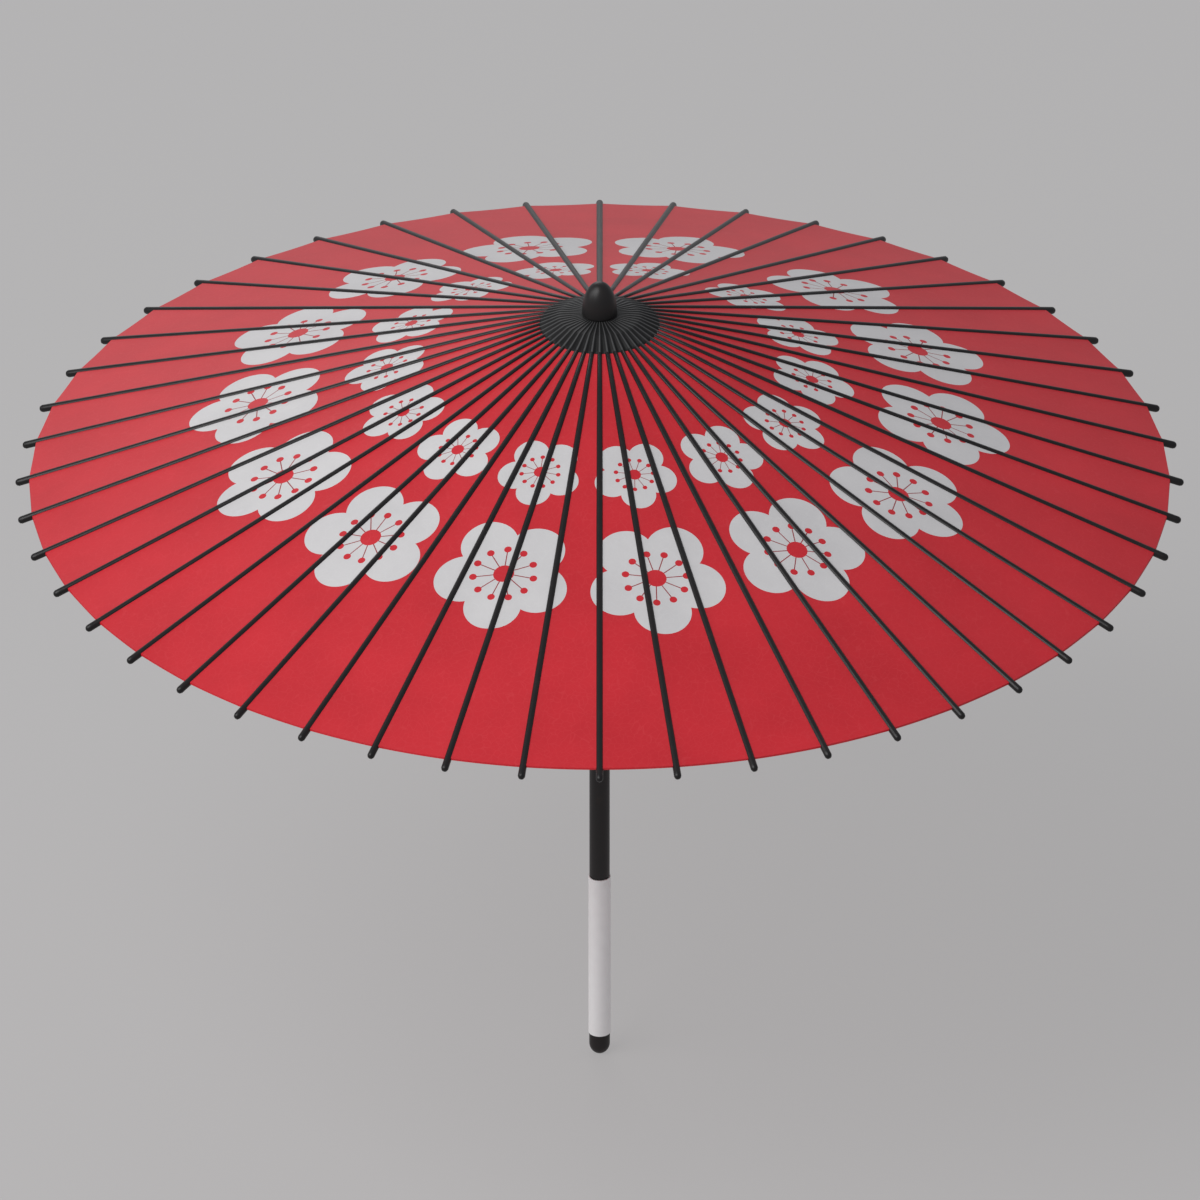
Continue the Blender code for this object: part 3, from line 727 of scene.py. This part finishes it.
def blossom_group():
    """Masks of the printed blossoms at a place on the paper's flat plan, in millimetres from the pole."""
    rings = "Outer ring", "Inner ring", "Inner scale", "First turn", "Step", "Blossoms"
    petals = "Petal centre", "Petal radius", "Eye radius"
    stamens = "Stamens", "Stamen turn", "Stamen length", "Stamen width", "Anther radius"
    group, source, sink = shader_group(
        "plum_blossoms",
        {"Plan": "Vector", **{key: "Float" for key in (*rings, *petals, *stamens)}},
        {"Petals": "Float", "Stamen": "Float", "Marks": "Float"},
    )
    do = maths(group, source)

    def fold(angle, part):
        """Angle brought into the middle one of equal parts of a circle."""
        half = do("MULTIPLY", part, 0.5)
        return do("SUBTRACT", do("FLOORED_MODULO", do("ADD", angle, half), part), half)

    def near(x, y, at, radius):
        """1 inside a circle centred on the folded X axis."""
        dx = do("SUBTRACT", x, at)
        distance = do("SQRT", do("ADD", do("MULTIPLY", dx, dx), do("MULTIPLY", y, y)))
        return do("LESS_THAN", distance, radius)

    plan = add_node(group, "ShaderNodeSeparateXYZ", {0: source.outputs["Plan"]})
    x, y = plan.outputs[0], plan.outputs[1]
    radius = do("SQRT", do("ADD", do("MULTIPLY", x, x), do("MULTIPLY", y, y)))
    turn = do("DEGREES", do("ARCTAN2", x, do("MULTIPLY", y, -1.0)))
    start = do("SUBTRACT", "First turn", do("MULTIPLY", "Step", 0.5))
    turn = do("FLOORED_MODULO", do("SUBTRACT", turn, start), 360.0)
    number = do("FLOOR", do("DIVIDE", turn, "Step"))
    counted = do("LESS_THAN", number, do("SUBTRACT", "Blossoms", 0.5))
    middle = do("MULTIPLY", do("ADD", number, 0.5), "Step")
    local = do("RADIANS", do("SUBTRACT", turn, middle))
    border = do("MULTIPLY", do("ADD", "Outer ring", "Inner ring"), 0.48)
    outer = do("GREATER_THAN", radius, border)
    ring = do("MULTIPLY_ADD", outer, do("SUBTRACT", "Outer ring", "Inner ring"), "Inner ring")
    scale = do("MULTIPLY_ADD", outer, do("SUBTRACT", 1.0, "Inner scale"), "Inner scale")
    across = do("DIVIDE", do("MULTIPLY", radius, do("SINE", local)), scale)
    out = do("DIVIDE", do("SUBTRACT", do("MULTIPLY", radius, do("COSINE", local)), ring), scale)
    reach = do("SQRT", do("ADD", do("MULTIPLY", across, across), do("MULTIPLY", out, out)))
    heading = do("ARCTAN2", across, out)
    fifth = fold(heading, 2 * math.pi / 5)
    petal_x = do("MULTIPLY", reach, do("COSINE", fifth))
    petal_y = do("MULTIPLY", reach, do("SINE", fifth))
    heart = do("LESS_THAN", reach, do("MULTIPLY", "Petal centre", 0.5))
    petal = do("MAXIMUM", near(petal_x, petal_y, "Petal centre", "Petal radius"), heart)
    petals = do("MULTIPLY", petal, counted)
    eye = do("LESS_THAN", reach, "Eye radius")
    strand = fold(do("SUBTRACT", heading, "Stamen turn"), do("DIVIDE", 2 * math.pi, "Stamens"))
    strand_x = do("MULTIPLY", reach, do("COSINE", strand))
    strand_y = do("MULTIPLY", reach, do("SINE", strand))
    anther = near(strand_x, strand_y, "Stamen length", "Anther radius")
    thin = do("LESS_THAN", do("ABSOLUTE", strand_y), do("MULTIPLY", "Stamen width", 0.5))
    short = do("LESS_THAN", reach, "Stamen length")
    group.links.new(petals, sink.inputs["Petals"])
    group.links.new(do("MULTIPLY", do("MULTIPLY", thin, short), counted), sink.inputs["Stamen"])
    group.links.new(do("MULTIPLY", do("MAXIMUM", eye, anther), counted), sink.inputs["Marks"])
    return group


PLAN_SHIFT = 0.5  # keeps the paper's flat map above nought
# Lengths in millimetres, and the first blossom's turn and the step to the next in degrees.
BLOSSOMS = {
    "Outer ring": 248.3,
    "Inner ring": 154.4,
    "Inner scale": 0.61,
    "First turn": 166.7,
    "Step": 25.33,
    "Blossoms": 14,
    "Petal centre": 29.5,
    "Petal radius": 20.6,
    "Eye radius": 7.5,
    "Stamens": 11,
    "Stamen turn": math.radians(-8.1),
    "Stamen length": 22.0,
    "Stamen width": 0.75,
    "Anther radius": 2.7,
}


def paper_material():
    """Dyed and oiled paper: it lets a little light through and shines softly seen along its surface."""
    made, tree, shader = new_material("red_oiled_paper")
    plan = add_node(tree, "ShaderNodeUVMap", uv_map="plan").outputs[0]
    shift = (-PLAN_SHIFT / MM, -PLAN_SHIFT / MM, 0)
    centred = add_node(
        tree, "ShaderNodeMapping", {"Vector": plan, "Location": shift, "Scale": (1 / MM, 1 / MM, 1 / MM)}
    )
    blossoms = add_node(
        tree, "ShaderNodeGroup", {"Plan": centred.outputs[0], **BLOSSOMS}, node_tree=blossom_group()
    )
    grain = add_node(tree, "ShaderNodeGroup", {"Vector": plan}, node_tree=paper_fibres)
    clouds = spread(tree, grain.outputs["Clouds"], 0.3, 0.7)
    fibres = grain.outputs["Fibres"]
    red = mixed(tree, clouds, (0.56, 0.010, 0.020), (0.64, 0.015, 0.027))
    red = mixed(tree, spread(tree, fibres, 0.0, 1.0, 0.0, 0.16), red, (0.72, 0.09, 0.10))
    white = mixed(tree, clouds, (0.60, 0.585, 0.585), (0.67, 0.655, 0.65))
    white = mixed(tree, spread(tree, fibres, 0.0, 1.0, 0.0, 0.2), white, (0.74, 0.73, 0.725))
    colour = mixed(tree, blossoms.outputs["Petals"], red, white)
    colour = mixed(tree, blossoms.outputs["Stamen"], colour, (0.30, 0.018, 0.024))
    colour = mixed(tree, blossoms.outputs["Marks"], colour, red)
    tree.links.new(colour, shader.inputs["Base Color"])
    relief(tree, shader, grain.outputs["Height"], strength=0.2, depth=0.1 * MM)
    shader.inputs["Roughness"].default_value = 0.46
    shader.inputs["Specular IOR Level"].default_value = 0.5
    through = add_node(tree, "ShaderNodeBsdfTranslucent", {"Color": colour})
    both = add_node(tree, "ShaderNodeMixShader", {0: 0.22, 1: shader.outputs[0], 2: through.outputs[0]})
    tree.links.new(both.outputs[0], tree.nodes["Material Output"].inputs["Surface"])
    return made


red_paper = paper_material()
paper_lift = PAPER_RISE / math.cos(tilt)


def gore_point(r, share, side):
    """Point of the half gore beside a rib along +X: share 0 is on the rib, and 1 midway to the next."""
    half_chord = r * math.sin(pitch / 2)
    middle = r * math.cos(pitch / 2) * Vector((math.cos(pitch / 2), side * math.sin(pitch / 2)))
    place = Vector((r, 0)).lerp(middle, share)
    sag = GORE_SAG * half_chord / (paper_edge * math.sin(pitch / 2)) * share * (2 - share)
    height = line_z(r) + paper_lift - sag
    if r < COLLAR_OUT:
        crest = collar_top - COLLAR_SLOPE * (r - CAP_BEND)
        gone = (r - gore_start) / (COLLAR_OUT - gore_start)
        depth = PLEAT_DEPTH + (COLLAR_DEPTH - PLEAT_DEPTH) * gone
        height = crest - depth * (0.5 - 0.5 * math.cos(math.pi * share))
    return Vector((place.x, place.y, height))


def half_gores(index):
    """Sheet from midway to one neighbour, over this rib, to midway to the other, its rim folded down."""
    bm = bmesh.new()
    crest = bm.verts.layers.float.new("crest")
    turn = Matrix.Rotation(index * pitch, 4, "Z")
    collar = COLLAR_OUT - 0.01 * MM - gore_start  # its last row is still pleated
    radii = [gore_start + collar * i / COLLAR_ROWS for i in range(COLLAR_ROWS + 1)]
    outer_start = COLLAR_OUT + COLLAR_LIP
    radii += [outer_start + (rim_r - outer_start) * i / GORE_ROWS for i in range(GORE_ROWS + 1)]
    shares = [i / GORE_COLUMNS for i in range(GORE_COLUMNS + 1)]
    across = [(-1, share) for share in shares[:0:-1]] + [(1, share) for share in shares]
    rows = [[gore_point(r, share, side) for side, share in across] for r in radii]
    rows.append([p + Vector((HEM_LEAN, 0, -HEM)) for p in rows[-1]])
    rows = [[bm.verts.new(turn @ p) for p in row] for row in rows]
    # Each point's crest share feeds the painted highlight along the black collar's crests.
    for row in rows:
        for vert, (side, share) in zip(row, across):
            vert[crest] = 0.5 + 0.5 * math.cos(math.pi * share)
    for number, (low, high) in enumerate(zip(rows, rows[1:])):
        for i in range(len(across) - 1):
            face = bm.faces.new((low[i], high[i], high[i + 1], low[i + 1]))
            face.material_index = 1 if number <= COLLAR_ROWS else 0
    plan = bm.loops.layers.uv.new("plan")
    for face in bm.faces:
        for corner in face.loops:
            corner[plan].uv = (corner.vert.co.x + PLAN_SHIFT, corner.vert.co.y + PLAN_SHIFT)
    return object_from(f"paper_{index:02d}", bm, red_paper, black_paper)


for index, name in enumerate(rib_names):
    sheet = thicken(half_gores(index), PAPER_WALL)
    angle = index * pitch
    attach(sheet, name)
    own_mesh(sheet)
    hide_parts("canopy")

# --------------------------------------------------------------------------------------------------
# Runner: the notched lower hub, turned like the crown and stained a little browner. It slides on the
# pole, on a sleeve below its notches. The CAD solid is kept.
runner_stain = lacquered(
    "runner_stain",
    black=(0.020, 0.016, 0.015),
    worn=(0.09, 0.055, 0.035),
    wear=0.4,
    grain=(420, 420, 60),
    sheen=(0.4, 0.55),
)
repaint("runner", runner_stain)

# --------------------------------------------------------------------------------------------------
# Short ribs: flat split-bamboo struts, stained black-brown, tied by thread into the runner's notches.
# Each ends in a chisel point under its long rib. Each is carried by the runner. On the real umbrella
# they fold up against the pole as the runner comes down.
RUNNER_HINGE_R = 20.0 * MM
RUNNER_SLEEVE = 45.0 * MM  # below its hinges
runner_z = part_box("runner")[0][2] + RUNNER_SLEEVE
JOINT_ALONG = 185.0 * MM  # from a long rib's hinge to its short rib's end
joint_r = hinge_r + JOINT_ALONG * math.cos(tilt)
joint_z = hinge_z - JOINT_ALONG * math.sin(tilt)
rise = math.atan2(joint_z - runner_z, joint_r - RUNNER_HINGE_R)
stay_length = math.hypot(joint_z - runner_z, joint_r - RUNNER_HINGE_R)
strut_stain = lacquered(
    "strut_stain",
    black=(0.022, 0.016, 0.013),
    worn=(0.12, 0.07, 0.038),
    wear=0.6,
    grain=(30, 1800, 1),
    sheen=(0.42, 0.6),
    strands="along",
)
strut_shape = {
    "Rows": 18,
    "Root": -2.2 * MM,
    "Tongue end": 4.9 * MM,
    "Tongue half width": 0.55 * MM,
    "Tongue half height": 1.6 * MM,
    "Length": stay_length - 4.6 * MM,
    "Half width": 1.6 * MM,
    "Half height": 1.7 * MM,
    "Root half width": 0.83 * MM,
    "Spread": 0.005,
    "Keystone": 0.0,
    "Squareness": 1.35,
    "Tip round": 0.5 * MM,
    "Chisel length": 8.0 * MM,
    "Chisel slope": 0.29,
    "Hinge radius": RUNNER_HINGE_R,
    "Hinge height": runner_z,
    "Tilt": -rise,
    "Finish": strut_stain,
}
for index in range(rib_count):
    angle = index * pitch
    own = {"Turn": angle, "Strand": 0.4 * (index % 5)}
    strut = grow(f"short_rib_{index:02d}", strip_tree, strip_sockets, {**strut_shape, **own})
    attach(strut, "runner")
    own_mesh(strut)
    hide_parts("short_ribs")

# Runner thread: one cotton ring through every short rib's notch.
THREAD_R = 0.42 * MM
bpy.ops.mesh.primitive_torus_add(
    major_segments=144,
    minor_segments=8,
    major_radius=RUNNER_HINGE_R,
    minor_radius=THREAD_R,
    location=(0, 0, 0),
)
runner_thread = bpy.context.object
runner_thread.name = "runner_thread"
runner_thread.data.transform(Matrix.Translation((0, 0, runner_z)))
runner_thread.data.polygons.foreach_set("use_smooth", [True] * len(runner_thread.data.polygons))
runner_thread.data.materials.append(black_thread)
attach(runner_thread, "runner")

# --------------------------------------------------------------------------------------------------
# Catch, its pin and the crown's peg: bare split bamboo, the catch smoked brown, whittled to fit their
# slots and holes. All three are kept as the CAD solids.


def bamboo_material(name, pale, dark, along):
    """Split bamboo: close straight fibre bundles along one axis, darker between them."""
    made, tree, shader = new_material(name)
    place = add_node(tree, "ShaderNodeTexCoord").outputs["Object"]
    drawn = add_node(tree, "ShaderNodeMapping", {"Vector": place, "Scale": along})
    fibres = noise(tree, drawn.outputs[0], scale=1.0, detail=6.0)
    tree.links.new(mixed(tree, fibres, dark, pale), shader.inputs["Base Color"])
    relief(tree, shader, fibres, strength=0.3, depth=0.2 * MM)
    shader.inputs["Roughness"].default_value = 0.5
    return made


smoked = bamboo_material("smoked_bamboo", (0.22, 0.12, 0.055), (0.08, 0.04, 0.02), (2500, 2500, 60))
repaint("catch", smoked)
pin_bamboo = bamboo_material("peg_bamboo", (0.42, 0.28, 0.14), (0.22, 0.13, 0.06), (60, 2500, 2500))
repaint("catch_pin", pin_bamboo)
repaint("crown_peg", pin_bamboo)

# --------------------------------------------------------------------------------------------------
# Grip: a smooth white wrap of fine thread, wound close and pasted round the lower pole. Its turns show
# most near its top edge.
grip_low, grip_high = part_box("grip")
grip_r = grip_high[0] * 1.003  # a little outside the faceted CAD sleeve
grip_bore = 7.2 * MM  # within the pole, so that no gap shows
TURNS_FADE = 6 * MM, 11 * MM  # below the top edge: the turns grow faint between these
SOFT_EDGE = 0.45 * MM
grip_outline = [(grip_bore, grip_low[2]), (grip_r - SOFT_EDGE, grip_low[2])]
grip_outline += arc(grip_r - SOFT_EDGE, grip_low[2] + SOFT_EDGE, SOFT_EDGE, -90, 0, 5)
grip_outline += arc(grip_r - SOFT_EDGE, grip_high[2] - SOFT_EDGE, SOFT_EDGE, 0, 90, 5)
grip_outline.append((grip_bore, grip_high[2]))


def grip_material():
    """White wrap: a soft satin face, faintly mottled, with fine level turns of thread."""
    made, tree, shader = new_material("white_wrap")
    place = add_node(tree, "ShaderNodeTexCoord").outputs["Object"]
    height = add_node(tree, "ShaderNodeSeparateXYZ", {0: place}).outputs["Z"]
    turns = add_node(
        tree,
        "ShaderNodeTexWave",
        {"Vector": place, "Scale": 260.0, "Distortion": 0.4, "Detail": 1.0},
        bands_direction="Z",
    )
    fade_low, fade_high = grip_high[2] - TURNS_FADE[1], grip_high[2] - TURNS_FADE[0]
    top = spread(tree, height, fade_low, fade_high, 0.10, 1.0)
    ridge = add_node(tree, "ShaderNodeMath", {0: turns.outputs["Fac"], 1: top}, operation="MULTIPLY")
    mottle = noise(tree, place, scale=120.0, detail=5.0)
    colour = mixed(tree, mottle, (0.82, 0.80, 0.795), (0.90, 0.885, 0.88))
    tree.links.new(colour, shader.inputs["Base Color"])
    relief(tree, shader, ridge.outputs[0], strength=0.35, depth=0.3 * MM)
    shader.inputs["Roughness"].default_value = 0.45
    return made


grip = turned("grip_wrap", grip_outline, 96, grip_material())
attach(grip, "umbrella")
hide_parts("grip")

# --------------------------------------------------------------------------------------------------
# End cap: a round-ended ferrule of black lacquered wood, turned hollow and pushed on the pole's lower
# tenon. It ends in a small flat foot.
cap_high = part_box("end_cap")[1]
cap_r = cap_high[0] * 1.004  # a little outside the faceted CAD cap
CAP_BORE = 5.2 * MM
BORE_FLOOR = 5.5 * MM  # above the foot
FOOT_R = 3.5 * MM
ROUND_STEPS = 12
foot_start = math.asin(FOOT_R / cap_r)
cap_outline = [(0, 0)]
for step in range(ROUND_STEPS + 1):
    t = foot_start + (math.pi / 2 - foot_start) * step / ROUND_STEPS
    cap_outline.append((cap_r * math.sin(t), cap_r * (1 - math.cos(t) / math.cos(foot_start))))
cap_outline += arc(cap_r - SOFT_EDGE, cap_high[2] - SOFT_EDGE, SOFT_EDGE, 0, 90, 5)
cap_outline += [(CAP_BORE, cap_high[2]), (CAP_BORE, BORE_FLOOR), (0, BORE_FLOOR)]
cap_lacquer = lacquered(
    "cap_lacquer",
    black=(0.014, 0.011, 0.011),
    worn=(0.05, 0.035, 0.028),
    wear=0.5,
    grain=(500, 500, 90),
    sheen=(0.38, 0.5),
)
end_cap = turned("cap", cap_outline, 96, cap_lacquer)
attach(end_cap, "umbrella")
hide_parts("end_cap")
